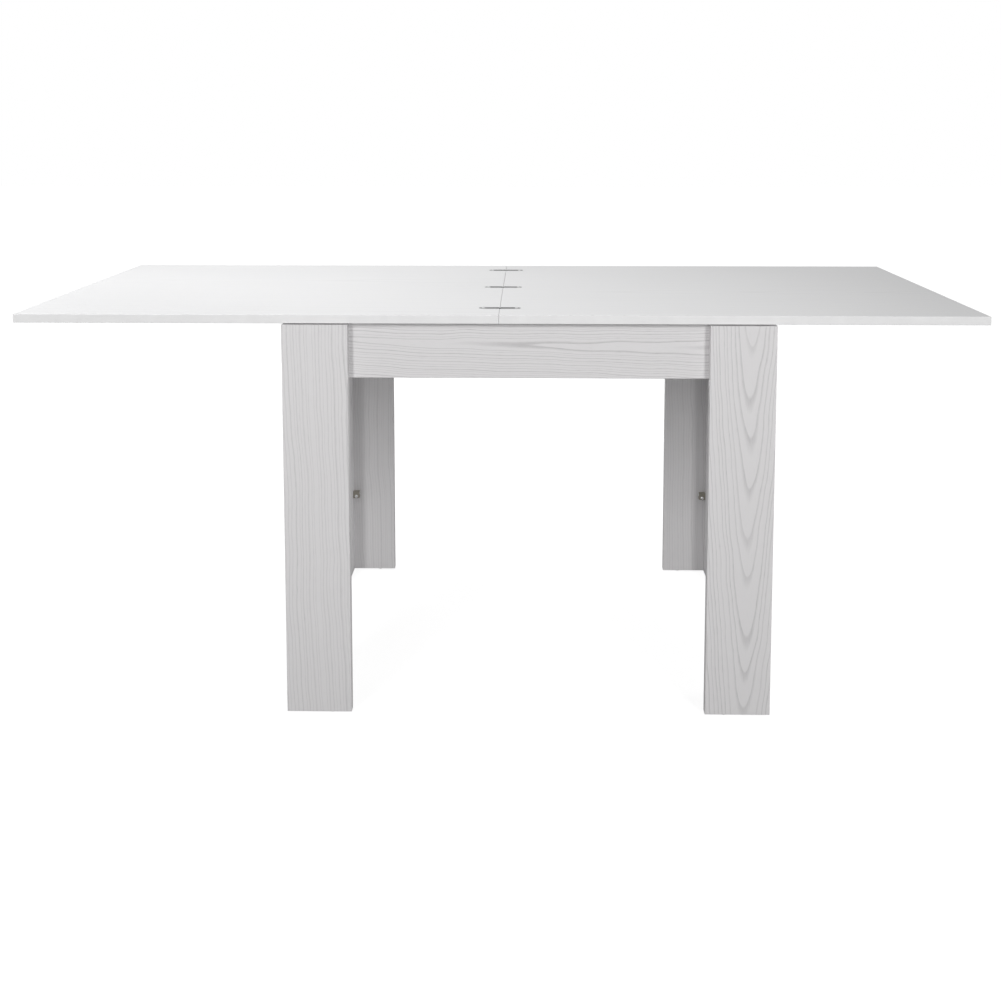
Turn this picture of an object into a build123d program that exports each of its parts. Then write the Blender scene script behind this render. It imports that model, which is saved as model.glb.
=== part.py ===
from build123d import *
import os

# A flip-top extension table: two square leaves hinged at a seam, on one square base of four
# L-shaped board legs. Millimetres. +Z is up, +X runs along the open top, and the sitter at
# the front is on the -Y side. The origin is on the floor under the middle of the open seam.

# Driving dimensions of the top
leaf_length = 900
leaf_width = 900
leaf_thickness = 16
top_height = 760
band_thickness = 1
band_radius = 0.8

# Driving dimensions of the base
base_side = 912
base_offset = 55
leg_width = 122
leg_board = 22
apron_height = 102
apron_board = 18
leaf_gap = 2
leaf_clearance = 0.3
foot_height = 2
foot_radius = 8
foot_nail_radius = 1.5
foot_nail_length = 14
foot_nail_tip = 2
foot_on_face_board = 25
foot_on_side_board = 20
board_edge = 1

# Driving dimensions of the slide
slide_travel = 395
channel_length = 820
channel_height = 30
channel_depth = 16
channel_wall = 2
channel_lip = 5
stop_length = 10
end_play = 1
shoe_length = 60
shoe_play = 0.5
runner_wall = 3
runner_flange = 30
runner_gap = 4
runner_web_drop = 12
channel_drop = 10

# Driving dimensions of the hinges
hinge_rows = (-345, 0, 345)
pin_offset = 3
knuckle_radius = 1.4
seam_face = 0.2
seam_radius = 0.3
plate_length = 40
plate_width = 24
plate_thickness = 3
link_width = 8
link_radius = 1.3
link_play = 0.3
pin_radius = 0.7
pin_running_gap = 0.05
mortise_gap = 0.2
knuckle_pocket_depth = 4
knuckle_pocket_reach = 4.8
inner_plate_screws = ((12, -6.5), (12, 6.5))
end_plate_screw = (31.5, 0)

# Fasteners
bolt_radius = 3
bolt_head_radius = 6
bolt_head_height = 3
bolt_length = 34
screw_radius = 2
screw_head_radius = 4
screw_head_height = 2.2
screw_length = 13
block_screw_length = 32
block_screw_rise = 3.5
sunk_radius = 1.6
sunk_head_radius = 3.6
sunk_length = 12
sunk_crown = 0.8
hole_gap = 0.05
clearance_gap = 0.3
bolt_past_bracket = 21
bolt_rises = (16, 44)
bracket_screw_inset = 25
bracket_screw_rise = 15
channel_screw_places = (-360, -180, 0, 180, 360)
runner_screw_inset = 13.5
shoe_screw_reach = 18
dowel_radius = 4
dowel_length = 30
dowel_in_face_board = 14
dowel_heights = (90, 300, 510, 690)

# Corner hardware
block_side = 15
block_height = 16
block_corner_radius = 3
block_heights = (193, 530)
bracket_side = 40
bracket_wall = 2
bracket_height = 48
bracket_rise = 6
pad_length = 50
pad_width = 14
pads_on_long_apron = (-380, -105, 105, 380)
pads_on_side_apron = (-150, 150)

# Places worked out from the driving dimensions
leaf_top = top_height
leaf_bottom = leaf_top - leaf_thickness
leg_top = leaf_bottom - leaf_gap
pin_height = leaf_top - knuckle_radius
base_half = base_side / 2
apron_outer = base_half - leg_board
apron_inner = apron_outer - apron_board
apron_bottom = leg_top - apron_height
face_board_centre = base_half - leg_width / 2
side_board_width = leg_width - leg_board
side_board_centre = apron_outer - side_board_width / 2
leg_board_centre = base_half - leg_board / 2
bracket_centre_z = apron_bottom + bracket_rise + bracket_height / 2
bolt_heights = [apron_bottom + rise for rise in bolt_rises]
bolt_reach = apron_inner - bracket_side - bolt_past_bracket
channel_top = leg_top - channel_drop
channel_bottom = channel_top - channel_height
channel_middle = channel_top - channel_height / 2
channel_open = apron_inner - channel_depth
runner_length = channel_length - 2 * stop_length - slide_travel - 2 * end_play
runner_centre_x = base_offset + slide_travel / 2
runner_outer = channel_open - runner_gap
runner_screw_reach = (40, 140)

corners = {
    "front_left": (-1, -1),
    "front_right": (1, -1),
    "back_left": (-1, 1),
    "back_right": (1, 1),
}
rows = {"front": -1, "back": 1}
ends = {"left": -1, "right": 1}
hinge_names = {"front": hinge_rows[0], "middle": hinge_rows[1], "back": hinge_rows[2]}


def save(sub_part, node):
    """Label a finished piece and write it as one STEP file."""
    sub_part.part.label = node
    export_step(sub_part.part, f"parts/{node}.step")


def at_base(x, y, z):
    """A point given from the middle of the base."""
    return (base_offset + x, y, z)


# Fastener places. Each plane lies on the face that the head bears on, and points to the head.


def face_bolt_planes(side_x, side_y):
    """Two bolts through the front or back apron into a leg's face board."""
    return [
        Plane(origin=at_base(side_x * bolt_reach, side_y * apron_inner, z), z_dir=(0, -side_y, 0))
        for z in bolt_heights
    ]


def side_bolt_planes(side_x, side_y):
    """Two bolts through a side apron into a leg's side board."""
    return [
        Plane(origin=at_base(side_x * apron_inner, side_y * bolt_reach, z), z_dir=(-side_x, 0, 0))
        for z in bolt_heights
    ]


def dowel_planes(side_x, side_y):
    """Middles of the dowels across the butt joint between a leg's face board and side board."""
    middle = apron_outer + dowel_in_face_board - dowel_length / 2
    return [
        Plane(origin=at_base(side_x * leg_board_centre, side_y * middle, z), z_dir=(0, side_y, 0))
        for z in dowel_heights
    ]


def block_screw_planes(side_x, side_y):
    """One screw from each corner block into each of the leg's two boards."""
    reach = apron_outer - block_side / 2
    face = apron_outer - block_side
    return [
        Plane(origin=at_base(side_x * reach, side_y * face, z - block_screw_rise), z_dir=(0, -side_y, 0))
        for z in block_heights
    ] + [
        Plane(origin=at_base(side_x * face, side_y * reach, z + block_screw_rise), z_dir=(-side_x, 0, 0))
        for z in block_heights
    ]


def bracket_screw_planes(side_x, side_y):
    """Two screws in each wing of a corner bracket."""
    face = apron_inner - bracket_wall
    reach = apron_inner - bracket_screw_inset
    planes = []
    for z in (bracket_centre_z - bracket_screw_rise, bracket_centre_z + bracket_screw_rise):
        planes.append(Plane(origin=at_base(side_x * reach, side_y * face, z), z_dir=(0, -side_y, 0)))
        planes.append(Plane(origin=at_base(side_x * face, side_y * reach, z), z_dir=(-side_x, 0, 0)))
    return planes


def channel_screw_planes(side_y):
    """Sunk screws along the middle of a channel's web."""
    return [
        Plane(
            origin=at_base(x, side_y * (apron_inner - channel_wall), channel_middle),
            z_dir=(0, -side_y, 0),
        )
        for x in channel_screw_places
    ]


def runner_screw_planes(side_y):
    """Screws up through a runner's flange into the sliding leaf."""
    y = side_y * (runner_outer - runner_wall - runner_screw_inset)
    xs = [runner_centre_x + side * reach for side in (-1, 1) for reach in runner_screw_reach]
    return [Plane(origin=(x, y, leaf_bottom - runner_wall), z_dir=(0, 0, -1)) for x in xs]


def shoe_centres():
    """Middle of the two shoes of a runner, along X."""
    reach = runner_length / 2 - shoe_length / 2
    return (runner_centre_x - reach, runner_centre_x + reach)


def shoe_screw_planes(side_y):
    """Two screws through the runner's web into each shoe."""
    return [
        Plane(origin=(x + dx, side_y * (runner_outer - runner_wall), channel_middle), z_dir=(0, -side_y, 0))
        for x in shoe_centres()
        for dx in (-shoe_screw_reach, shoe_screw_reach)
    ]


def foot_points(side_x, side_y):
    """One foot under each of a leg's two boards."""
    return [
        at_base(side_x * (face_board_centre - foot_on_face_board), side_y * leg_board_centre, 0),
        at_base(side_x * leg_board_centre, side_y * (side_board_centre - foot_on_side_board), 0),
    ]


def all_corners(planes_of):
    """The planes of all four corners in one list."""
    return [plane for side_x, side_y in corners.values() for plane in planes_of(side_x, side_y)]


# Fasteners, each with the underside of its head on the XY plane and its shank along -Z

rim_share = 0.35
shoulder_share = 0.6


def round_head(head_radius, head_height, shank_radius, length):
    """A low domed head with a hex socket, on a plain shank with a blunt tip."""
    rim = head_height * rim_share
    crown = head_height - rim
    dome_radius = (head_radius**2 + crown**2) / (2 * crown)
    shoulder = head_radius * shoulder_share
    shoulder_height = head_height - dome_radius + (dome_radius**2 - shoulder**2) ** 0.5
    with BuildPart() as fastener:
        with BuildSketch(Plane.XZ):
            with BuildLine():
                Polyline(
                    (0, head_height),
                    (0, -length),
                    (shank_radius * 0.5, -length),
                    (shank_radius, -length + shank_radius),
                    (shank_radius, 0),
                    (head_radius, 0),
                    (head_radius, rim),
                )
                ThreePointArc((head_radius, rim), (shoulder, shoulder_height), (0, head_height))
            make_face()
        revolve(axis=Axis.Z)
        with BuildSketch(Plane.XY.offset(head_height + 1)):
            RegularPolygon(head_radius * 0.42, 6)
        extrude(amount=-1 - head_height * 0.6, mode=Mode.SUBTRACT)
    return fastener.part


def sunk_head(head_radius, shank_radius, length, crown=0):
    """A countersunk head with its rim on the XY plane, flat or with a low crown, and a cross slot."""
    head_depth = head_radius - shank_radius
    with BuildPart() as fastener:
        with BuildSketch(Plane.XZ):
            with BuildLine():
                Polyline(
                    (0, -length),
                    (shank_radius, -length + shank_radius * 1.5),
                    (shank_radius, -head_depth),
                    (head_radius, 0),
                )
                if crown:
                    dome_radius = (head_radius**2 + crown**2) / (2 * crown)
                    shoulder = head_radius * shoulder_share
                    shoulder_height = crown - dome_radius + (dome_radius**2 - shoulder**2) ** 0.5
                    ThreePointArc((head_radius, 0), (shoulder, shoulder_height), (0, crown))
                else:
                    Line((head_radius, 0), (0, 0))
                Line((0, crown), (0, -length))
            make_face()
        revolve(axis=Axis.Z)
        with BuildSketch(Plane.XY.offset(crown)):
            Rectangle(head_radius * 1.1, head_radius * 0.22)
            Rectangle(head_radius * 0.22, head_radius * 1.1)
        extrude(amount=-crown - head_depth * 0.6, mode=Mode.SUBTRACT)
    return fastener.part


def copies(piece, planes):
    """The same piece at every plane, as separate solids."""
    with BuildPart() as group:
        with Locations(*planes):
            add(piece)
    return group


leg_bolt = round_head(bolt_head_radius, bolt_head_height, bolt_radius, bolt_length)
wood_screw = round_head(screw_head_radius, screw_head_height, screw_radius, screw_length)
block_screw = round_head(screw_head_radius, screw_head_height, screw_radius, block_screw_length)
sunk_screw = sunk_head(sunk_head_radius, sunk_radius, sunk_length)
crowned_screw = sunk_head(sunk_head_radius, sunk_radius, sunk_length, sunk_crown)


# The base


def make_leg_face(side_x, side_y):
    """A leg's face board, as wide as the leg, at the front or back of the base."""
    with BuildPart() as board:
        with BuildSketch(Plane.XY.offset(foot_height)):
            with Locations(at_base(side_x * face_board_centre, side_y * leg_board_centre, 0)[:2]):
                Rectangle(leg_width, leg_board)
        extrude(amount=leg_top - foot_height)
        outer = board.edges().filter_by(Axis.Z).group_by(Axis.Y)[0 if side_y < 0 else -1]
        fillet(outer, board_edge)
        with Locations(*face_bolt_planes(side_x, side_y)):
            Hole(bolt_radius + hole_gap, bolt_length)
        with Locations(*block_screw_planes(side_x, side_y)[:2]):
            Hole(screw_radius + hole_gap, block_screw_length)
        with Locations(*dowel_planes(side_x, side_y)):
            Hole(dowel_radius + hole_gap, dowel_length / 2)
        with Locations(Location(foot_points(side_x, side_y)[0])):
            Cylinder(
                foot_nail_radius + hole_gap,
                foot_height + foot_nail_length + hole_gap,
                align=(Align.CENTER, Align.CENTER, Align.MIN),
                mode=Mode.SUBTRACT,
            )
    return board


def make_leg_side(side_x, side_y):
    """A leg's side board, butted against the back of its face board."""
    with BuildPart() as board:
        with BuildSketch(Plane.XY.offset(foot_height)):
            with Locations(at_base(side_x * leg_board_centre, side_y * side_board_centre, 0)[:2]):
                Rectangle(leg_board, side_board_width)
        extrude(amount=leg_top - foot_height)
        inner_end = board.edges().filter_by(Axis.Z).group_by(Axis.Y)[-1 if side_y < 0 else 0]
        fillet(inner_end, board_edge)
        with Locations(*side_bolt_planes(side_x, side_y)):
            Hole(bolt_radius + hole_gap, bolt_length)
        with Locations(*block_screw_planes(side_x, side_y)[2:]):
            Hole(screw_radius + hole_gap, block_screw_length)
        with Locations(*dowel_planes(side_x, side_y)):
            Hole(dowel_radius + hole_gap, dowel_length / 2)
        with Locations(Location(foot_points(side_x, side_y)[1])):
            Cylinder(
                foot_nail_radius + hole_gap,
                foot_height + foot_nail_length + hole_gap,
                align=(Align.CENTER, Align.CENTER, Align.MIN),
                mode=Mode.SUBTRACT,
            )
    return board


def make_long_apron(side_y):
    """The front or back apron, as long as the base inside its leg boards."""
    with BuildPart() as board:
        with BuildSketch(Plane.XY.offset(apron_bottom)):
            with Locations(at_base(0, side_y * (apron_outer - apron_board / 2), 0)[:2]):
                Rectangle(2 * apron_outer, apron_board)
        extrude(amount=apron_height)
        lower_edges = board.edges().filter_by(Axis.X).group_by(Axis.Z)[0]
        fillet(lower_edges, board_edge)
        with Locations(*face_bolt_planes(-1, side_y), *face_bolt_planes(1, side_y)):
            Hole(bolt_radius + hole_gap, apron_board)
        with Locations(*channel_screw_planes(side_y)):
            Hole(sunk_radius + hole_gap, sunk_length)
        wing_planes = bracket_screw_planes(-1, side_y)[0::2] + bracket_screw_planes(1, side_y)[0::2]
        with Locations(*wing_planes):
            Hole(screw_radius + hole_gap, screw_length)
    return board


def make_side_apron(side_x):
    """A side apron, butted between the front and back aprons."""
    with BuildPart() as board:
        with BuildSketch(Plane.XY.offset(apron_bottom)):
            with Locations(at_base(side_x * (apron_outer - apron_board / 2), 0, 0)[:2]):
                Rectangle(apron_board, 2 * apron_inner)
        extrude(amount=apron_height)
        lower_edges = board.edges().filter_by(Axis.Y).group_by(Axis.Z)[0]
        fillet(lower_edges, board_edge)
        with Locations(*side_bolt_planes(side_x, -1), *side_bolt_planes(side_x, 1)):
            Hole(bolt_radius + hole_gap, apron_board)
        wing_planes = bracket_screw_planes(side_x, -1)[1::2] + bracket_screw_planes(side_x, 1)[1::2]
        with Locations(*wing_planes):
            Hole(screw_radius + hole_gap, screw_length)
    return board


def make_corner_blocks(side_x, side_y):
    """Two plastic connector blocks in the inner corner of a leg."""
    reach = apron_outer - block_side / 2
    middle = at_base(side_x * reach, side_y * reach, 0)
    with BuildPart() as blocks:
        for height in block_heights:
            with BuildSketch(Plane.XY.offset(height - block_height / 2)):
                with Locations(middle[:2]):
                    Rectangle(block_side, block_side)
            extrude(amount=block_height)
        free_edges = (
            blocks.edges()
            .filter_by(Axis.Z)
            .group_by(Axis.X)[0 if side_x > 0 else -1]
            .group_by(Axis.Y)[0 if side_y > 0 else -1]
        )
        fillet(free_edges, block_corner_radius)
        with Locations(*block_screw_planes(side_x, side_y)):
            Hole(screw_radius + hole_gap, block_side)
    return blocks


def make_bracket(side_x, side_y):
    """A pressed steel angle in the inner corner of the apron frame."""
    near = apron_inner - bracket_side
    far = apron_inner
    wall = apron_inner - bracket_wall
    outline = [(far, far), (far, near), (wall, near), (wall, wall), (near, wall), (near, far)]
    with BuildPart() as bracket:
        with BuildSketch(Plane.XY.offset(bracket_centre_z - bracket_height / 2)):
            with BuildLine():
                Polyline(*[at_base(side_x * x, side_y * y, 0)[:2] for x, y in outline], close=True)
            make_face()
        extrude(amount=bracket_height)
        with Locations(*bracket_screw_planes(side_x, side_y)):
            Hole(screw_radius + clearance_gap, bracket_wall)
    return bracket


def make_foot_glides():
    """A nailed plastic disc under each leg board."""
    with BuildPart() as foot:
        with BuildSketch(Plane.XZ):
            with BuildLine():
                Polyline(
                    (0, 0),
                    (foot_radius - 1, 0),
                    (foot_radius, 1),
                    (foot_radius, foot_height),
                    (foot_nail_radius, foot_height),
                    (foot_nail_radius, foot_height + foot_nail_length - foot_nail_tip),
                    (0, foot_height + foot_nail_length),
                    (0, 0),
                )
            make_face()
        revolve(axis=Axis.Z)
    points = [point for side_x, side_y in corners.values() for point in foot_points(side_x, side_y)]
    return copies(foot.part, [Plane(origin=point) for point in points])


def make_glide_pads():
    """Low nylon pads on top of the aprons, under the leaves."""
    pad_line = apron_outer - apron_board / 2
    with BuildPart() as pads:
        with BuildSketch(Plane.XY.offset(leg_top)):
            with Locations(*[
                at_base(x, side_y * pad_line, 0)[:2] for side_y in (-1, 1) for x in pads_on_long_apron
            ]):
                SlotOverall(pad_length, pad_width)
            with Locations(*[
                at_base(side_x * pad_line, y, 0)[:2] for side_x in (-1, 1) for y in pads_on_side_apron
            ]):
                SlotOverall(pad_length, pad_width, rotation=90)
        extrude(amount=leaf_gap - leaf_clearance)
    return pads


def make_dowel():
    """A beech dowel with chamfered ends, its middle at the origin and its length along Z."""
    with BuildPart() as dowel:
        Cylinder(dowel_radius, dowel_length)
        chamfer(dowel.edges().filter_by(GeomType.CIRCLE), 1)
    return dowel.part


# The slide


def make_channel(side_y):
    """A lipped C channel on the inner face of the front or back apron, open to the middle."""
    web = apron_inner
    web_in = apron_inner - channel_wall
    lip = channel_open
    lip_in = channel_open + channel_wall
    outline = [
        (web, channel_bottom),
        (lip, channel_bottom),
        (lip, channel_bottom + channel_lip),
        (lip_in, channel_bottom + channel_lip),
        (lip_in, channel_bottom + channel_wall),
        (web_in, channel_bottom + channel_wall),
        (web_in, channel_top - channel_wall),
        (lip_in, channel_top - channel_wall),
        (lip_in, channel_top - channel_lip),
        (lip, channel_top - channel_lip),
        (lip, channel_top),
        (web, channel_top),
    ]
    with BuildPart() as channel:
        with BuildSketch(Plane.YZ.offset(base_offset - channel_length / 2)):
            with BuildLine():
                Polyline(*[(side_y * y, z) for y, z in outline], close=True)
            make_face()
        extrude(amount=channel_length)
        with Locations(*channel_screw_planes(side_y)):
            CounterSinkHole(sunk_radius + hole_gap, sunk_head_radius, channel_wall, 90)
    return channel


def make_end_stops():
    """A moulded plug in each end of both channels."""
    height = channel_height - 2 * channel_wall
    near = channel_open + channel_wall
    far = apron_inner - channel_wall
    with BuildPart() as stops:
        for side_x in ends.values():
            for side_y in rows.values():
                x = side_x * (channel_length - stop_length) / 2
                with Locations(Location(at_base(x, side_y * (near + far) / 2, channel_middle))):
                    Box(stop_length, far - near, height)
    return stops


def make_runner(side_y):
    """An angle under the sliding leaf: a flange screwed up into it and a web beside the channel."""
    web_bottom = channel_middle - runner_web_drop
    inner = runner_outer - runner_wall
    outline = [
        (runner_outer, leaf_bottom),
        (runner_outer, web_bottom),
        (inner, web_bottom),
        (inner, leaf_bottom - runner_wall),
        (inner - runner_flange, leaf_bottom - runner_wall),
        (inner - runner_flange, leaf_bottom),
    ]
    with BuildPart() as runner:
        with BuildSketch(Plane.YZ.offset(runner_centre_x - runner_length / 2)):
            with BuildLine():
                Polyline(*[(side_y * y, z) for y, z in outline], close=True)
            make_face()
        extrude(amount=runner_length)
        with Locations(*runner_screw_planes(side_y), *shoe_screw_planes(side_y)):
            Hole(screw_radius + clearance_gap, runner_wall)
    return runner


def make_shoes(side_y):
    """Two nylon shoes: a body inside the channel and a neck out through its lips."""
    body_far = apron_inner - channel_wall - shoe_play
    body_near = channel_open + channel_wall + shoe_play
    body_height = channel_height - 2 * channel_wall - 2 * shoe_play
    neck_height = channel_height - 2 * channel_lip - 2 * shoe_play
    with BuildPart() as shoes:
        for x in shoe_centres():
            with Locations((x, side_y * (body_far + body_near) / 2, channel_middle)):
                Box(shoe_length, body_far - body_near, body_height)
            with Locations((x, side_y * (body_near + runner_outer) / 2, channel_middle)):
                Box(shoe_length, body_near - runner_outer, neck_height)
        with Locations(*shoe_screw_planes(side_y)):
            Hole(screw_radius + hole_gap, screw_length)
    return shoes


# The top


def plate_outline(side_x, start, grow):
    """Outline of a hinge plate from start to its round end, widened all round by grow."""
    end_centre = plate_length - plate_width / 2
    half = plate_width / 2 + grow
    for y in hinge_rows:
        with Locations((side_x * (start + end_centre) / 2, y)):
            Rectangle(end_centre - start, 2 * half)
        with Locations((side_x * end_centre, y)):
            Circle(half)


def make_leaf(side_x):
    """One leaf, let in at its seam for three hinges."""
    length = leaf_length - band_thickness - seam_face
    width = leaf_width - 2 * band_thickness
    with BuildPart() as board:
        with BuildSketch(Plane.XY.offset(leaf_bottom)):
            with Locations((side_x * (seam_face + length / 2), 0)):
                Rectangle(length, width)
        extrude(amount=leaf_thickness)
        seam_edges = board.edges().filter_by(Axis.Y).group_by(Axis.X)[0 if side_x > 0 else -1]
        fillet(seam_edges.sort_by(Axis.Z)[-1], seam_radius)
        with BuildSketch(Plane.XY.offset(leaf_top)):
            plate_outline(side_x, 0, mortise_gap)
        extrude(amount=-plate_thickness, mode=Mode.SUBTRACT)
        with BuildSketch(Plane.XY.offset(leaf_top)):
            with Locations(*[(side_x * knuckle_pocket_reach / 2, y) for y in hinge_rows]):
                Rectangle(knuckle_pocket_reach, plate_width + 2 * mortise_gap)
        extrude(amount=-knuckle_pocket_depth, mode=Mode.SUBTRACT)
        with Locations(*plate_screw_planes(side_x)):
            Hole(sunk_radius + hole_gap, sunk_length)
        if side_x > 0:
            with Locations(*runner_screw_planes(-1), *runner_screw_planes(1)):
                Hole(screw_radius + hole_gap, screw_length)
    return board


def make_edge_bands(side_x):
    """A plastic band round the leaf's three outer edges."""
    band_centre = (leaf_width - band_thickness) / 2
    long_band = leaf_length - seam_face
    with BuildPart() as bands:
        with BuildSketch(Plane.XY.offset(leaf_bottom)):
            with Locations(*[(side_x * (seam_face + long_band / 2), y) for y in (-band_centre, band_centre)]):
                Rectangle(long_band, band_thickness)
        extrude(amount=leaf_thickness)
        with BuildSketch(Plane.XY.offset(leaf_bottom)):
            with Locations((side_x * (leaf_length - band_thickness / 2), 0)):
                Rectangle(band_thickness, leaf_width - 2 * band_thickness)
        extrude(amount=leaf_thickness)
        seam_edges = bands.edges().filter_by(Axis.Y).group_by(Axis.X)[0 if side_x > 0 else -1]
        fillet(seam_edges.group_by(Axis.Z)[-1], seam_radius)
        outer_edges = (
            bands.edges().filter_by(Axis.X).group_by(Axis.Y)[0]
            + bands.edges().filter_by(Axis.X).group_by(Axis.Y)[-1]
            + bands.edges().filter_by(Axis.Y).group_by(Axis.X)[-1 if side_x > 0 else 0]
        )
        fillet(outer_edges, band_radius)
    return bands


def plate_screw_planes(side_x, rows_y=hinge_rows, places=(*inner_plate_screws, end_plate_screw)):
    """Screws in the plates of one leaf: two by each knuckle and one near each round end."""
    return [Plane(origin=(side_x * reach, y + dy, leaf_top)) for y in rows_y for reach, dy in places]


def make_hinge_screws(side_x):
    """The screws of one leaf's plates, flat by the knuckle and with a low crown at the round end."""
    with BuildPart() as screws:
        with Locations(*plate_screw_planes(side_x, places=inner_plate_screws)):
            add(sunk_screw)
        with Locations(*plate_screw_planes(side_x, places=(end_plate_screw,))):
            add(crowned_screw)
    return screws


def make_plate(side_x, y):
    """A hinge plate, flush in the leaf, with a forked knuckle for the link."""
    end_centre = plate_length - plate_width / 2
    with BuildPart() as plate:
        with BuildSketch(Plane.XY.offset(leaf_top)):
            with Locations((side_x * (pin_offset + end_centre) / 2, y)):
                Rectangle(end_centre - pin_offset, plate_width)
            with Locations((side_x * end_centre, y)):
                Circle(plate_width / 2)
        extrude(amount=-plate_thickness)
        with BuildSketch(Plane.XZ.offset(-y)):
            with Locations((side_x * pin_offset, pin_height)):
                Circle(knuckle_radius)
        extrude(amount=plate_width / 2, both=True)
        with BuildSketch(Plane.XY.offset(leaf_top)):
            with Locations((side_x * knuckle_pocket_reach / 2, y)):
                Rectangle(knuckle_pocket_reach, link_width + 2 * link_play)
        extrude(amount=-knuckle_pocket_depth, mode=Mode.SUBTRACT)
        with BuildSketch(Plane.XZ.offset(-y)):
            with Locations((side_x * pin_offset, pin_height)):
                Circle(pin_radius + pin_running_gap)
        extrude(amount=plate_width, both=True, mode=Mode.SUBTRACT)
        with Locations(*plate_screw_planes(side_x, (y,))):
            CounterSinkHole(sunk_radius + hole_gap, sunk_head_radius, plate_thickness, 90)
    return plate


def make_link(y):
    """The link that joins a hinge's two pins."""
    with BuildPart() as link:
        with BuildSketch(Plane.XZ.offset(-y)):
            with Locations((0, pin_height)):
                SlotCenterToCenter(2 * pin_offset, 2 * link_radius)
            with Locations((-pin_offset, pin_height), (pin_offset, pin_height)):
                Circle(pin_radius, mode=Mode.SUBTRACT)
        extrude(amount=link_width / 2, both=True)
    return link


def make_pins():
    """Two pins in every hinge, each as long as the plate is wide."""
    length = plate_width - 1
    with BuildPart() as pins:
        for y in hinge_rows:
            with BuildSketch(Plane.XZ.offset(-y)):
                with Locations((-pin_offset, pin_height), (pin_offset, pin_height)):
                    Circle(pin_radius)
            extrude(amount=length / 2, both=True)
    return pins


# Write every piece
os.makedirs("parts", exist_ok=True)

for corner, (side_x, side_y) in corners.items():
    save(make_leg_face(side_x, side_y), f"leg_face_{corner}")
    save(make_leg_side(side_x, side_y), f"leg_side_{corner}")
    save(make_corner_blocks(side_x, side_y), f"corner_blocks_{corner}")
    save(make_bracket(side_x, side_y), f"apron_bracket_{corner}")

for row, side_y in rows.items():
    save(make_long_apron(side_y), f"apron_{row}")
    save(make_channel(side_y), f"channel_{row}")
    save(make_runner(side_y), f"runner_{row}")
    save(make_shoes(side_y), f"runner_shoes_{row}")

for end, side_x in ends.items():
    save(make_side_apron(side_x), f"apron_{end}")
    save(make_leaf(side_x), f"leaf_{end}")
    save(make_edge_bands(side_x), f"edge_bands_{end}")
    save(make_hinge_screws(side_x), f"hinge_screws_{end}")
    for row, y in hinge_names.items():
        save(make_plate(side_x, y), f"hinge_plate_{end}_{row}")

for row, y in hinge_names.items():
    save(make_link(y), f"hinge_link_{row}")

save(make_pins(), "hinge_pins")
save(make_foot_glides(), "foot_glides")
save(make_glide_pads(), "glide_pads")
save(make_end_stops(), "channel_stops")
save(copies(make_dowel(), all_corners(dowel_planes)), "leg_dowels")
save(copies(leg_bolt, all_corners(face_bolt_planes) + all_corners(side_bolt_planes)), "leg_bolts")
save(copies(block_screw, all_corners(block_screw_planes)), "corner_block_screws")
save(copies(wood_screw, all_corners(bracket_screw_planes)), "bracket_screws")
save(copies(sunk_screw, channel_screw_planes(-1) + channel_screw_planes(1)), "channel_screws")
save(copies(wood_screw, runner_screw_planes(-1) + runner_screw_planes(1)), "runner_screws")
save(copies(wood_screw, shoe_screw_planes(-1) + shoe_screw_planes(1)), "shoe_screws")
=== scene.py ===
"""The looks of the extension table with a folding top.

Materials, camera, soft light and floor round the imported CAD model.
"""
import math

import bpy
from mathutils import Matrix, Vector


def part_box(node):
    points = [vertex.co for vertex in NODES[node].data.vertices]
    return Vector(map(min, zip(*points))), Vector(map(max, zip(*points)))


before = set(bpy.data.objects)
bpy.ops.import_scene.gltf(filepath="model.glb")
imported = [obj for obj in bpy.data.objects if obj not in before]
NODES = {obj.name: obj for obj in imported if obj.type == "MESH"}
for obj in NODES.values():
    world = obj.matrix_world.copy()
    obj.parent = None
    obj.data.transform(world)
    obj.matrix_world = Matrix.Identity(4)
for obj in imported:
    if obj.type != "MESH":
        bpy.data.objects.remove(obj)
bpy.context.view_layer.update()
X, Y, Z = 0, 1, 2

# ---------------------------------------------------------------- shader kit

# the colour sockets of a Mix node
MIX_FIRST, MIX_SECOND, MIX_RESULT = 6, 7, 2
# the dot product of the soft and the true normal where an edge counts in full
FULL_EDGE_DOT = 0.82


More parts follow.
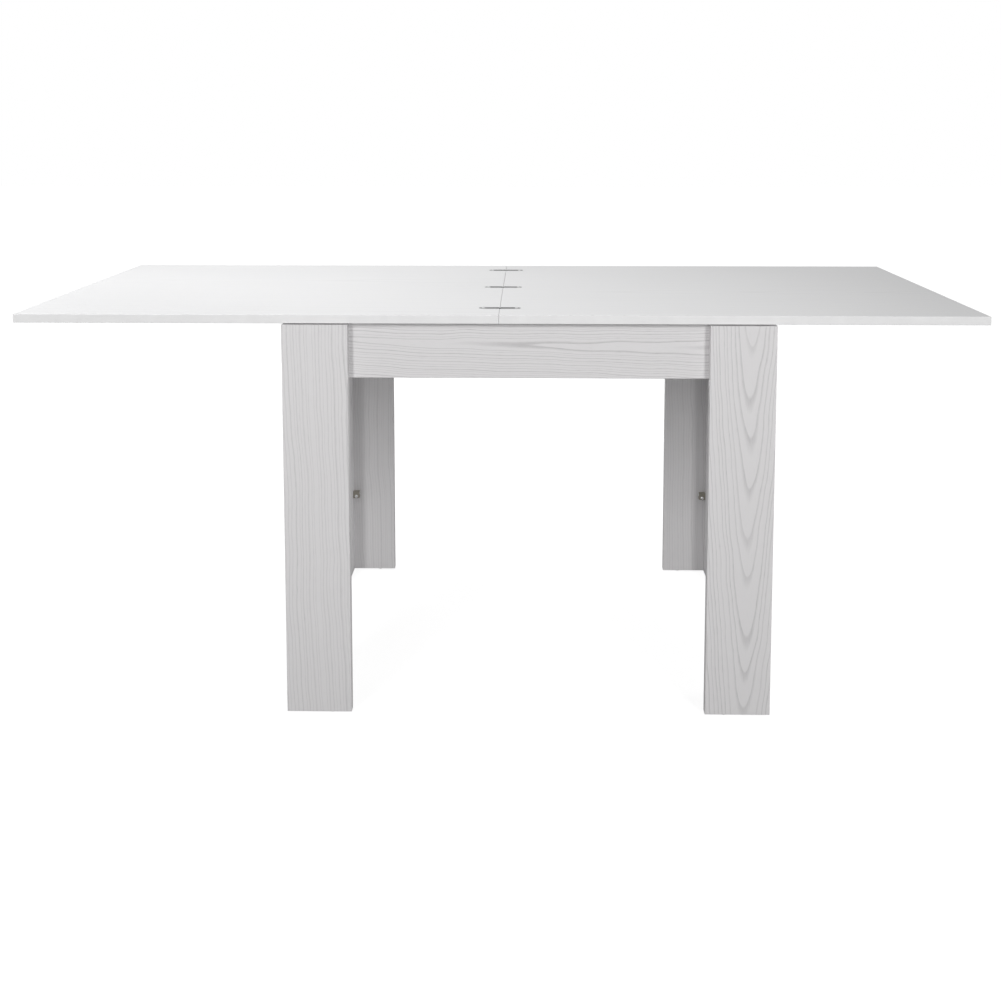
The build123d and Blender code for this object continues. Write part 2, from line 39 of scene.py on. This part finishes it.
class Shader:
    """A Principled material with short calls for the nodes that feed it."""

    def __init__(self, name, roughness=0.45, metallic=0.0, ior=1.5):
        self.material = bpy.data.materials.new(name)
        self.material.use_nodes = True
        self.tree = self.material.node_tree
        self.surface = self.tree.nodes["Principled BSDF"]
        self.surface.inputs["Roughness"].default_value = roughness
        self.surface.inputs["Metallic"].default_value = metallic
        self.surface.inputs["IOR"].default_value = ior
        self.place = self.add("ShaderNodeTexCoord").outputs["Object"]
        split = self.add("ShaderNodeSeparateXYZ")
        self.join(self.place, split.inputs[0])
        self.axes = list(split.outputs)

    def add(self, kind, **settings):
        node = self.tree.nodes.new(kind)
        for key, value in settings.items():
            setattr(node, key, value)
        return node

    def join(self, source, socket):
        """Links a socket's output, or sets a plain number, vector or colour."""
        if isinstance(source, bpy.types.NodeSocket):
            self.tree.links.new(source, socket)
        else:
            socket.default_value = source

    def math(self, operation, *values, clamp=False):
        node = self.add("ShaderNodeMath", operation=operation, use_clamp=clamp)
        for value, socket in zip(values, node.inputs):
            self.join(value, socket)
        return node.outputs[0]

    def times(self, value, factor):
        return self.math("MULTIPLY", value, factor)

    def minus(self, value, amount):
        return self.math("SUBTRACT", value, amount)

    def total(self, *values):
        result = values[0]
        for value in values[1:]:
            result = self.math("ADD", result, value)
        return result

    def clamped(self, value):
        return self.math("ADD", value, 0.0, clamp=True)

    def centred(self, noise, amount):
        """A noise of 0 to 1 made to swing round zero."""
        return self.times(self.minus(noise, 0.5), amount)

    def remap(self, value, low, high, to_low=0.0, to_high=1.0):
        node = self.add("ShaderNodeMapRange", interpolation_type="SMOOTHSTEP")
        for item, socket in zip((value, low, high, to_low, to_high), node.inputs):
            self.join(item, socket)
        return node.outputs[0]

    def stretched(self, scales, shift=0.0):
        """Object coordinates times a scale on each axis, moved so that no two boards match."""
        node = self.add("ShaderNodeMapping")
        self.join(self.place, node.inputs["Vector"])
        node.inputs["Scale"].default_value = scales
        node.inputs["Location"].default_value = (shift, shift * 0.7, shift * 1.3)
        return node.outputs[0]

    def noise(self, where, scale=1.0, detail=2.0, roughness=0.5):
        node = self.add("ShaderNodeTexNoise")
        self.join(where, node.inputs["Vector"])
        node.inputs["Scale"].default_value = scale
        node.inputs["Detail"].default_value = detail
        node.inputs["Roughness"].default_value = roughness
        return node.outputs["Fac"]

    def noise_along(self, value, scale=1.0, detail=1.0):
        """Noise that changes with one number only."""
        node = self.add("ShaderNodeTexNoise", noise_dimensions="1D")
        self.join(value, node.inputs["W"])
        node.inputs["Scale"].default_value = scale
        node.inputs["Detail"].default_value = detail
        return node.outputs["Fac"]

    def blend(self, amount, first, second):
        node = self.add("ShaderNodeMix", data_type="RGBA")
        self.join(amount, node.inputs["Factor"])
        for item, socket in ((first, node.inputs[MIX_FIRST]), (second, node.inputs[MIX_SECOND])):
            self.join(item if isinstance(item, bpy.types.NodeSocket) else (*item, 1.0), socket)
        return node.outputs[MIX_RESULT]

    def edges(self, radius):
        """(soft normal, mask): the normal rounded over sharp edges, and 1 along them."""
        soft = self.add("ShaderNodeBevel", samples=4)
        soft.inputs["Radius"].default_value = radius
        geometry = self.add("ShaderNodeNewGeometry")
        dot = self.add("ShaderNodeVectorMath", operation="DOT_PRODUCT")
        self.join(soft.outputs[0], dot.inputs[0])
        self.join(geometry.outputs["True Normal"], dot.inputs[1])
        return soft.outputs[0], self.remap(dot.outputs["Value"], 1.0, FULL_EDGE_DOT)

    def finish(self, colour, roughness, height, depth, strength=1.0, normal=None):
        """Feeds the surface; height is embossed to the given depth in metres."""
        self.join(colour, self.surface.inputs["Base Color"])
        self.join(roughness, self.surface.inputs["Roughness"])
        bump = self.add("ShaderNodeBump")
        bump.inputs["Strength"].default_value = strength
        bump.inputs["Distance"].default_value = depth
        self.join(height, bump.inputs["Height"])
        if normal is not None:
            self.join(normal, bump.inputs["Normal"])
        self.join(bump.outputs[0], self.surface.inputs["Normal"])
        return self.material


def dress(material, *starts):
    """Gives the material to every CAD node whose name starts with one of these."""
    for name, node in NODES.items():
        if name.startswith(starts):
            node.data.materials.clear()
            node.data.materials.append(material)


# ---------------------------------------------------------------- ash grain

# scales of the noises, per metre
BOARD_WAVER = (9.0, 9.0, 9.0)
RIPPLE_ALONG, RIPPLE_ACROSS = 14.0, 60.0
PORE_ALONG, PORE_ACROSS = 55.0, 1500.0
CLOUD = (3.0, 3.0, 3.0)
# how far the waver and the ripple push the rings sideways, in metres
WAVER_WIDTH = 0.022
RIPPLE_WIDTH = 0.0035
# how unevenly the rings are spaced, in rings
RING_UNEVENNESS = 1.6
# the share of a ring that its dark late wood covers, and the share of its sharp edge
LATE_WOOD = 0.5
LATE_WOOD_EDGE = 0.1
# how dark the palest year's line is beside the darkest year's
PALEST_YEAR = 0.6
# the noise levels where a pore starts and where it is full
PORE_STARTS, PORE_FULL = 0.56, 0.68
# the part of the pores that also shows in the pale early wood
PORES_BETWEEN_LINES = 0.25
# what each adds to the grain's darkness, to its roughness and to its depth
LINE_TONE, PORE_TONE, EDGE_TONE, CLOUD_TONE = 0.6, 0.35, 0.15, 0.16
LINE_MATT, CLOUD_MATT, EDGE_MATT = 0.10, 0.14, -0.08
LINE_DEPTH, PORE_DEPTH = 0.7, 0.6
ASH_EDGE_RADIUS = 0.0012


def ash(
    name, along, across, colour, line_colour, heart=0.0, face=0.0, depth=0.02,
    taper=0.08, ring=0.009, lean=0.0, contrast=1.0, relief=0.00018, shift=0.0,
    roughness=0.42,
):
    """White melamine with an embossed ash grain.

    The growth rings are cones round a pith that lies behind the board, so faces and
    edges cut the same rings. heart is where the pith lies across the board, face the
    board's face, depth how far behind it the pith is, taper how fast the rings narrow
    along the board, ring their spacing and lean the tilt of the grain.
    """
    through = X + Y + Z - along - across
    s = Shader(name)

    def drawn_out(scale_along, scale_across):
        """Object coordinates for a noise drawn out along the board."""
        scales = tuple(scale_along if axis == along else scale_across for axis in (X, Y, Z))
        return s.stretched(scales, shift)

    # the distance from the pith, counted in rings
    v = s.math("ADD", s.axes[along], shift)
    waver = s.noise(s.stretched(BOARD_WAVER, shift), 0.55)
    ripple = s.noise(drawn_out(RIPPLE_ALONG, RIPPLE_ACROSS))
    wander = s.total(s.centred(waver, WAVER_WIDTH), s.centred(ripple, RIPPLE_WIDTH))
    u = s.total(s.axes[across], -heart, s.times(v, lean), wander)
    behind = s.math("ADD", s.math("ABSOLUTE", s.minus(s.axes[through], face)), depth)
    radius = s.math("SQRT", s.total(s.times(u, u), s.times(behind, behind)))
    count = s.math("DIVIDE", s.minus(radius, s.times(v, taper)), ring)
    rings = s.math("ADD", count, s.times(s.noise_along(count, 0.45), RING_UNEVENNESS))

    # each ring has one dark line, sharp on one side, and some years are darker
    part = s.math("FRACT", rings)
    year = s.remap(s.noise_along(s.math("FLOOR", rings), 3.7, 0.0), 0.3, 0.7, PALEST_YEAR, 1.0)
    fading = s.remap(part, 0.0, LATE_WOOD, 1.0, 0.0)
    line = s.times(s.times(fading, s.remap(part, 0.0, LATE_WOOD_EDGE)), year)

    pores = s.remap(s.noise(drawn_out(PORE_ALONG, PORE_ACROSS), 1.0, 1.0), PORE_STARTS, PORE_FULL)
    in_lines = s.math("ADD", s.times(line, 1.0 - PORES_BETWEEN_LINES), PORES_BETWEEN_LINES)
    pores = s.times(pores, in_lines)
    cloud = s.noise(s.stretched(CLOUD, shift), 1.0, 3.0)
    soft_normal, edge = s.edges(ASH_EDGE_RADIUS)

    shade = s.total(
        s.times(line, LINE_TONE * contrast),
        s.times(pores, PORE_TONE * contrast),
        s.times(edge, EDGE_TONE),
        s.centred(cloud, CLOUD_TONE),
    )
    matt = s.total(
        roughness, s.times(line, LINE_MATT), s.centred(cloud, CLOUD_MATT), s.times(edge, EDGE_MATT)
    )
    height = s.minus(1.0, s.total(s.times(line, LINE_DEPTH), s.times(pores, PORE_DEPTH)))
    return s.finish(
        s.blend(s.clamped(shade), colour, line_colour), matt, height, relief, 1.0, soft_normal
    )


# ---------------------------------------------------------------- plastic and metal

PLASTIC_EDGE_RADIUS = 0.0008
METAL_EDGE_RADIUS = 0.0006
# how deep light goes into nylon, in metres
LIGHT_DEPTH = 0.002
# zinc spangles per metre
SPANGLES = 120.0
# a grain with no direction, per metre, for turned metal
FINE_GRAIN = (500.0, 500.0, 500.0)


def plastic(
    name, colour, second, roughness, grain, relief, translucent=0.0, streak=(1.0, 1.0, 1.0)
):
    """Moulded plastic: a fine spark-eroded skin, faint colour drift and paler edges."""
    s = Shader(name, roughness)
    skin = s.noise(s.stretched(streak), grain, 3.0, 0.6)
    drift = s.noise(s.place, 35.0)
    soft_normal, edge = s.edges(PLASTIC_EDGE_RADIUS)
    s.surface.inputs["Subsurface Weight"].default_value = translucent
    s.surface.inputs["Subsurface Scale"].default_value = LIGHT_DEPTH
    shade = s.total(s.times(drift, 0.5), s.times(skin, 0.3), s.times(edge, 0.35))
    matt = s.total(roughness - 0.1, s.times(skin, 0.16), s.times(drift, 0.06))
    return s.finish(s.blend(shade, colour, second), matt, skin, relief, 0.6, soft_normal)


def metal(name, colour, second, roughness, streak, relief, spangle=0.0):
    """Rolled, drawn or plated metal: fine streaks, a cloudy skin and bright rubbed edges."""
    s = Shader(name, roughness, metallic=1.0)
    lines = s.noise(s.stretched(streak), 1.0, 2.0, 0.6)
    cloud = s.noise(s.place, 40.0, 3.0, 0.6)
    soft_normal, edge = s.edges(METAL_EDGE_RADIUS)
    shade = s.total(s.times(lines, 0.4), s.times(cloud, 0.3), s.times(edge, 0.5))
    if spangle:
        cells = s.add("ShaderNodeTexVoronoi")
        s.join(s.place, cells.inputs["Vector"])
        cells.inputs["Scale"].default_value = SPANGLES
        shade = s.math("ADD", shade, s.times(cells.outputs["Color"], spangle))
    matt = s.total(
        roughness - 0.12, s.times(lines, 0.16), s.times(cloud, 0.12), s.times(edge, -0.05)
    )
    return s.finish(
        s.blend(s.clamped(shade), colour, second), matt, lines, relief, 0.5, soft_normal
    )


def hinge_screw_painted_highlight(inner_end, outer_start):
    """Satin screw heads with painted light: a painted dark reflection like the plates' up to
    inner_end, and a painted highlight, nearly white, from outer_start.

    Both are distances from the seam, so the screws by the pins are dark and the ones
    near the ends of the plates are bright, as in the photo.
    """
    s = Shader("hinge_screw_painted_highlight", metallic=0.3)
    # painted light: this mask picks where the painted highlight replaces the painted dark
    # reflection
    bright = s.remap(s.math("ABSOLUTE", s.axes[X]), inner_end, outer_start)
    turned = s.noise(s.stretched(FINE_GRAIN), 1.0, 2.0, 0.6)
    # dark is a painted reflection and light a painted highlight, not the screws' own colours
    dark = s.blend(turned, (0.17, 0.17, 0.175), (0.28, 0.28, 0.29))
    light = s.blend(turned, (0.95, 0.95, 0.95), (1.0, 1.0, 1.0))
    matt = s.math("ADD", s.times(turned, 0.16), 0.34)
    return s.finish(s.blend(bright, dark, light), matt, turned, 0.00002, 0.5)


def beech():
    """Fluted beech dowels: pink-brown wood with short ray flecks."""
    s = Shader("beech_dowels", 0.6)
    rays = s.remap(s.noise(s.stretched((90.0, 900.0, 900.0)), 1.0, 1.0), 0.55, 0.7)
    growth = s.noise(s.stretched((25.0, 260.0, 260.0)), 1.0, 3.0)
    shade = s.total(s.times(rays, 0.4), s.times(growth, 0.5))
    colour = s.blend(shade, (0.62, 0.42, 0.26), (0.40, 0.23, 0.12))
    return s.finish(colour, s.math("ADD", s.times(growth, 0.2), 0.5), growth, 0.0002)


# ---------------------------------------------------------------- boards

WHITE = (0.80, 0.788, 0.794)
WHITE_TOP = (0.83, 0.83, 0.835)
GRAIN = (0.56, 0.548, 0.554)
GRAIN_TOP = (0.70, 0.70, 0.70)


def middle(node, axis):
    low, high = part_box(node)
    return (low[axis] + high[axis]) / 2


# the top: two sheets cut one after the other, the grain along the table
for index, side in enumerate(("left", "right")):
    node = f"leaf_{side}"
    dress(
        ash(
            f"ash_top_{side}", X, Y, WHITE_TOP, GRAIN_TOP,
            heart=middle(node, Y) + 0.12 - 0.2 * index,
            face=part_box(node)[1][Z], depth=0.05, taper=0.045, ring=0.016, contrast=0.35,
            relief=0.00005, shift=2.0 + 1.7 * index, roughness=0.46,
        ),
        node,
    )

# the legs: upright grain; of the face boards only the front right one shows its heart
for index, corner in enumerate(("front_left", "front_right", "back_left", "back_right")):
    in_front = corner.startswith("front")
    on_left = corner.endswith("left")
    hearted = corner == "front_right"
    node = f"leg_face_{corner}"
    low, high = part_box(node)
    dress(
        ash(
            f"ash_{node}", Z, X, WHITE, GRAIN, ring=0.0062,
            heart=middle(node, X) + (0.014 if hearted else -0.09), depth=0.03,
            taper=0.069 if hearted else 0.008, lean=0.0 if hearted else 0.03,
            face=(low if in_front else high)[Y], shift=0.31 + 0.83 * index,
            contrast=1.15 if hearted else (0.9 if in_front else 0.6),
        ),
        node,
    )
    node = f"leg_side_{corner}"
    low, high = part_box(node)
    dress(
        ash(
            f"ash_{node}", Z, Y, WHITE, GRAIN, ring=0.009,
            heart=middle(node, Y) + (-0.02 if in_front else 0.02), depth=0.02 + 0.01 * index,
            taper=0.05, face=(low if on_left else high)[X], shift=4.1 + 0.57 * index,
        ),
        node,
    )

# the aprons: level grain, closer rings
for index, side in enumerate(("front", "back", "left", "right")):
    along, out = (X, Y) if side in ("front", "back") else (Y, X)
    node = f"apron_{side}"
    low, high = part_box(node)
    outer = low if side in ("front", "left") else high
    dress(
        ash(
            f"ash_{node}", along, Z, WHITE, GRAIN, ring=0.0044, heart=high[Z] - 0.012,
            depth=0.012, taper=0.014, lean=0.02, face=outer[out], shift=1.3 + 1.1 * index,
            contrast=1.5,
        ),
        node,
    )

# ---------------------------------------------------------------- plastic and metal parts

dress(
    plastic(
        "edge_band", (0.97, 0.97, 0.97), (0.78, 0.775, 0.78), 0.4, 1.0, 0.00005,
        streak=(9.0, 9.0, 700.0),
    ),
    "edge_bands",
)
dress(
    plastic("corner_block", (0.38, 0.355, 0.30), (0.26, 0.24, 0.20), 0.5, 1200.0, 0.00012),
    "corner_blocks",
)
dress(
    plastic("foot_plastic", (0.46, 0.46, 0.46), (0.36, 0.36, 0.36), 0.5, 1400.0, 0.0001),
    "foot_glides",
)
dress(
    plastic(
        "nylon", (0.76, 0.75, 0.70), (0.66, 0.65, 0.60), 0.38, 1100.0, 0.00006,
        translucent=0.25,
    ),
    "glide_pads", "channel_stops", "runner_shoes",
)
dress(
    metal(
        "zinc_steel", (0.62, 0.64, 0.67), (0.76, 0.76, 0.72), 0.36,
        (400.0, 400.0, 30.0), 0.00004, spangle=0.15,
    ),
    "apron_bracket", "leg_bolts",
)
dress(
    metal(
        "channel_steel", (0.55, 0.57, 0.60), (0.72, 0.73, 0.74), 0.34,
        (20.0, 700.0, 700.0), 0.00004, spangle=0.12,
    ),
    "channel_front", "channel_back",
)
dress(
    metal(
        "runner_aluminium", (0.74, 0.75, 0.76), (0.86, 0.86, 0.86), 0.36,
        (12.0, 1500.0, 1500.0), 0.00005,
    ),
    "runner_front", "runner_back",
)
# painted dark reflection: the nickel hinge plates and links get a dark base colour in place of
# their pale metal
dress(
    metal(
        "hinge_nickel", (0.17, 0.17, 0.175), (0.32, 0.32, 0.33), 0.36,
        (40.0, 1600.0, 1600.0), 0.00004,
    ),
    "hinge_plate", "hinge_link",
)
dress(
    metal("screw_steel", (0.84, 0.84, 0.85), (0.96, 0.96, 0.96), 0.26, FINE_GRAIN, 0.00003),
    "hinge_pins", "channel_screws", "runner_screws", "shoe_screws", "corner_block_screws",
    "bracket_screws",
)
# hinge screws: painted highlight near the plate ends, painted dark reflection by the pins
dress(hinge_screw_painted_highlight(0.022, 0.024), "hinge_screws")
dress(beech(), "leg_dowels")

# ---------------------------------------------------------------- floor

FLOOR_HALF = 20.0
FLOOR_COLOUR = (0.34, 0.34, 0.34, 1.0)
# the floor's glow as the camera sees it, near the table and far off, and as all else sees it
GLOW_NEAR, GLOW_FAR, GLOW_GIVEN = 0.84, 1.0, 0.05
# the distances from the origin where the glow starts to rise and where it is full
GLOW_RISES, GLOW_FULL = 1.5, 6.0


def lit_for_camera(tree, seen, given):
    """A strength for light paths: what is seen directly, and the light given to all else."""
    path = tree.nodes.new("ShaderNodeLightPath")
    pick = tree.nodes.new("ShaderNodeMapRange")
    tree.links.new(path.outputs["Is Camera Ray"], pick.inputs["Value"])
    pick.inputs["To Min"].default_value = given
    if isinstance(seen, bpy.types.NodeSocket):
        tree.links.new(seen, pick.inputs["To Max"])
    else:
        pick.inputs["To Max"].default_value = seen
    return pick.outputs["Result"]


def paler_far_away(tree, near, far):
    """A strength that rises with the distance from the origin, so the floor has no visible end."""
    place = tree.nodes.new("ShaderNodeTexCoord")
    length = tree.nodes.new("ShaderNodeVectorMath")
    length.operation = "LENGTH"
    tree.links.new(place.outputs["Object"], length.inputs[0])
    rise = tree.nodes.new("ShaderNodeMapRange")
    tree.links.new(length.outputs["Value"], rise.inputs["Value"])
    rise.inputs["From Min"].default_value = GLOW_RISES
    rise.inputs["From Max"].default_value = GLOW_FULL
    rise.inputs["To Min"].default_value = near
    rise.inputs["To Max"].default_value = far
    return rise.outputs["Result"]


floor_corners = [
    (x * FLOOR_HALF, y * FLOOR_HALF, 0.0) for x, y in ((-1, -1), (1, -1), (1, 1), (-1, 1))
]
floor_mesh = bpy.data.meshes.new("floor")
floor_mesh.from_pydata(floor_corners, [], [(0, 1, 2, 3)])
floor = bpy.data.objects.new("floor", floor_mesh)
bpy.context.collection.objects.link(floor)
paper = bpy.data.materials.new("studio_floor")
paper.use_nodes = True
paper_surface = paper.node_tree.nodes["Principled BSDF"]
paper_surface.inputs["Base Color"].default_value = FLOOR_COLOUR
paper_surface.inputs["Roughness"].default_value = 0.9
paper_surface.inputs["Specular IOR Level"].default_value = 0.0
paper_surface.inputs["Emission Color"].default_value = (1.0, 1.0, 1.0, 1.0)
glow = paler_far_away(paper.node_tree, GLOW_NEAR, GLOW_FAR)
paper.node_tree.links.new(
    lit_for_camera(paper.node_tree, glow, GLOW_GIVEN), paper_surface.inputs["Emission Strength"]
)
floor_mesh.materials.append(paper)

# ---------------------------------------------------------------- light

# the world's strength as the camera sees it, and as all else sees it
WORLD_SEEN, WORLD_GIVEN = 1.0, 0.25

world = bpy.data.worlds.new("studio")
bpy.context.scene.world = world
world.use_nodes = True
sky = world.node_tree.nodes["Background"]
sky.inputs["Color"].default_value = (1.0, 1.0, 1.0, 1.0)
world.node_tree.links.new(
    lit_for_camera(world.node_tree, WORLD_SEEN, WORLD_GIVEN), sky.inputs["Strength"]
)


def softbox(name, place, target, size, power):
    """A rectangular lamp at a place, facing the target; metres and watts."""
    lamp = bpy.data.lights.new(name, "AREA")
    lamp.shape = "RECTANGLE"
    lamp.size, lamp.size_y = size
    lamp.energy = power
    lamp_object = bpy.data.objects.new(name, lamp)
    lamp_object.location = place
    aim = Vector(target) - Vector(place)
    lamp_object.rotation_euler = aim.to_track_quat("-Z", "Y").to_euler()
    bpy.context.collection.objects.link(lamp_object)


softbox("front_left", (-1.25, -2.9, 1.7), (0.05, -0.4, 0.5), (0.5, 1.3), 30.0)
softbox("front_right", (1.35, -2.9, 1.7), (0.05, -0.4, 0.5), (0.5, 1.3), 30.0)
softbox("overhead", (-1.35, 0.2, 2.55), (-0.2, 0.0, 0.76), (1.6, 1.6), 36.5)
softbox("back", (0.1, 2.3, 2.2), (0.0, 0.0, 0.76), (2.4, 0.25), 11.0)
# the last two stay below the top, so that it doesn't mirror them
softbox("back_fill", (-0.6, 3.6, 0.4), (0.0, 0.5, 0.4), (1.6, 0.6), 14.0)
softbox("low_right", (2.6, 0.1, 0.45), (0.0, 0.3, 0.4), (0.6, 0.5), 20.0)

# ---------------------------------------------------------------- camera

CAMERA_PLACE = (0.0592, -3.1397, 1.1259)
# downwards from level, and to the left from straight ahead, in radians
CAMERA_TILT, CAMERA_TURN = 0.1146, 0.0208
SENSOR_WIDTH, FOCAL_LENGTH = 36.0, 53.1
# the lens is shifted, as in the photo, so that the legs stay nearly upright
LENS_SHIFT = -0.2153

camera_data = bpy.data.cameras.new("camera")
camera_data.sensor_width = SENSOR_WIDTH
camera_data.lens = FOCAL_LENGTH
camera_data.shift_y = LENS_SHIFT
camera = bpy.data.objects.new("camera", camera_data)
camera.location = CAMERA_PLACE
camera.rotation_euler = (math.pi / 2 - CAMERA_TILT, 0.0, CAMERA_TURN)
bpy.context.collection.objects.link(camera)
bpy.context.scene.camera = camera
bpy.context.scene.view_settings.view_transform = "Standard"
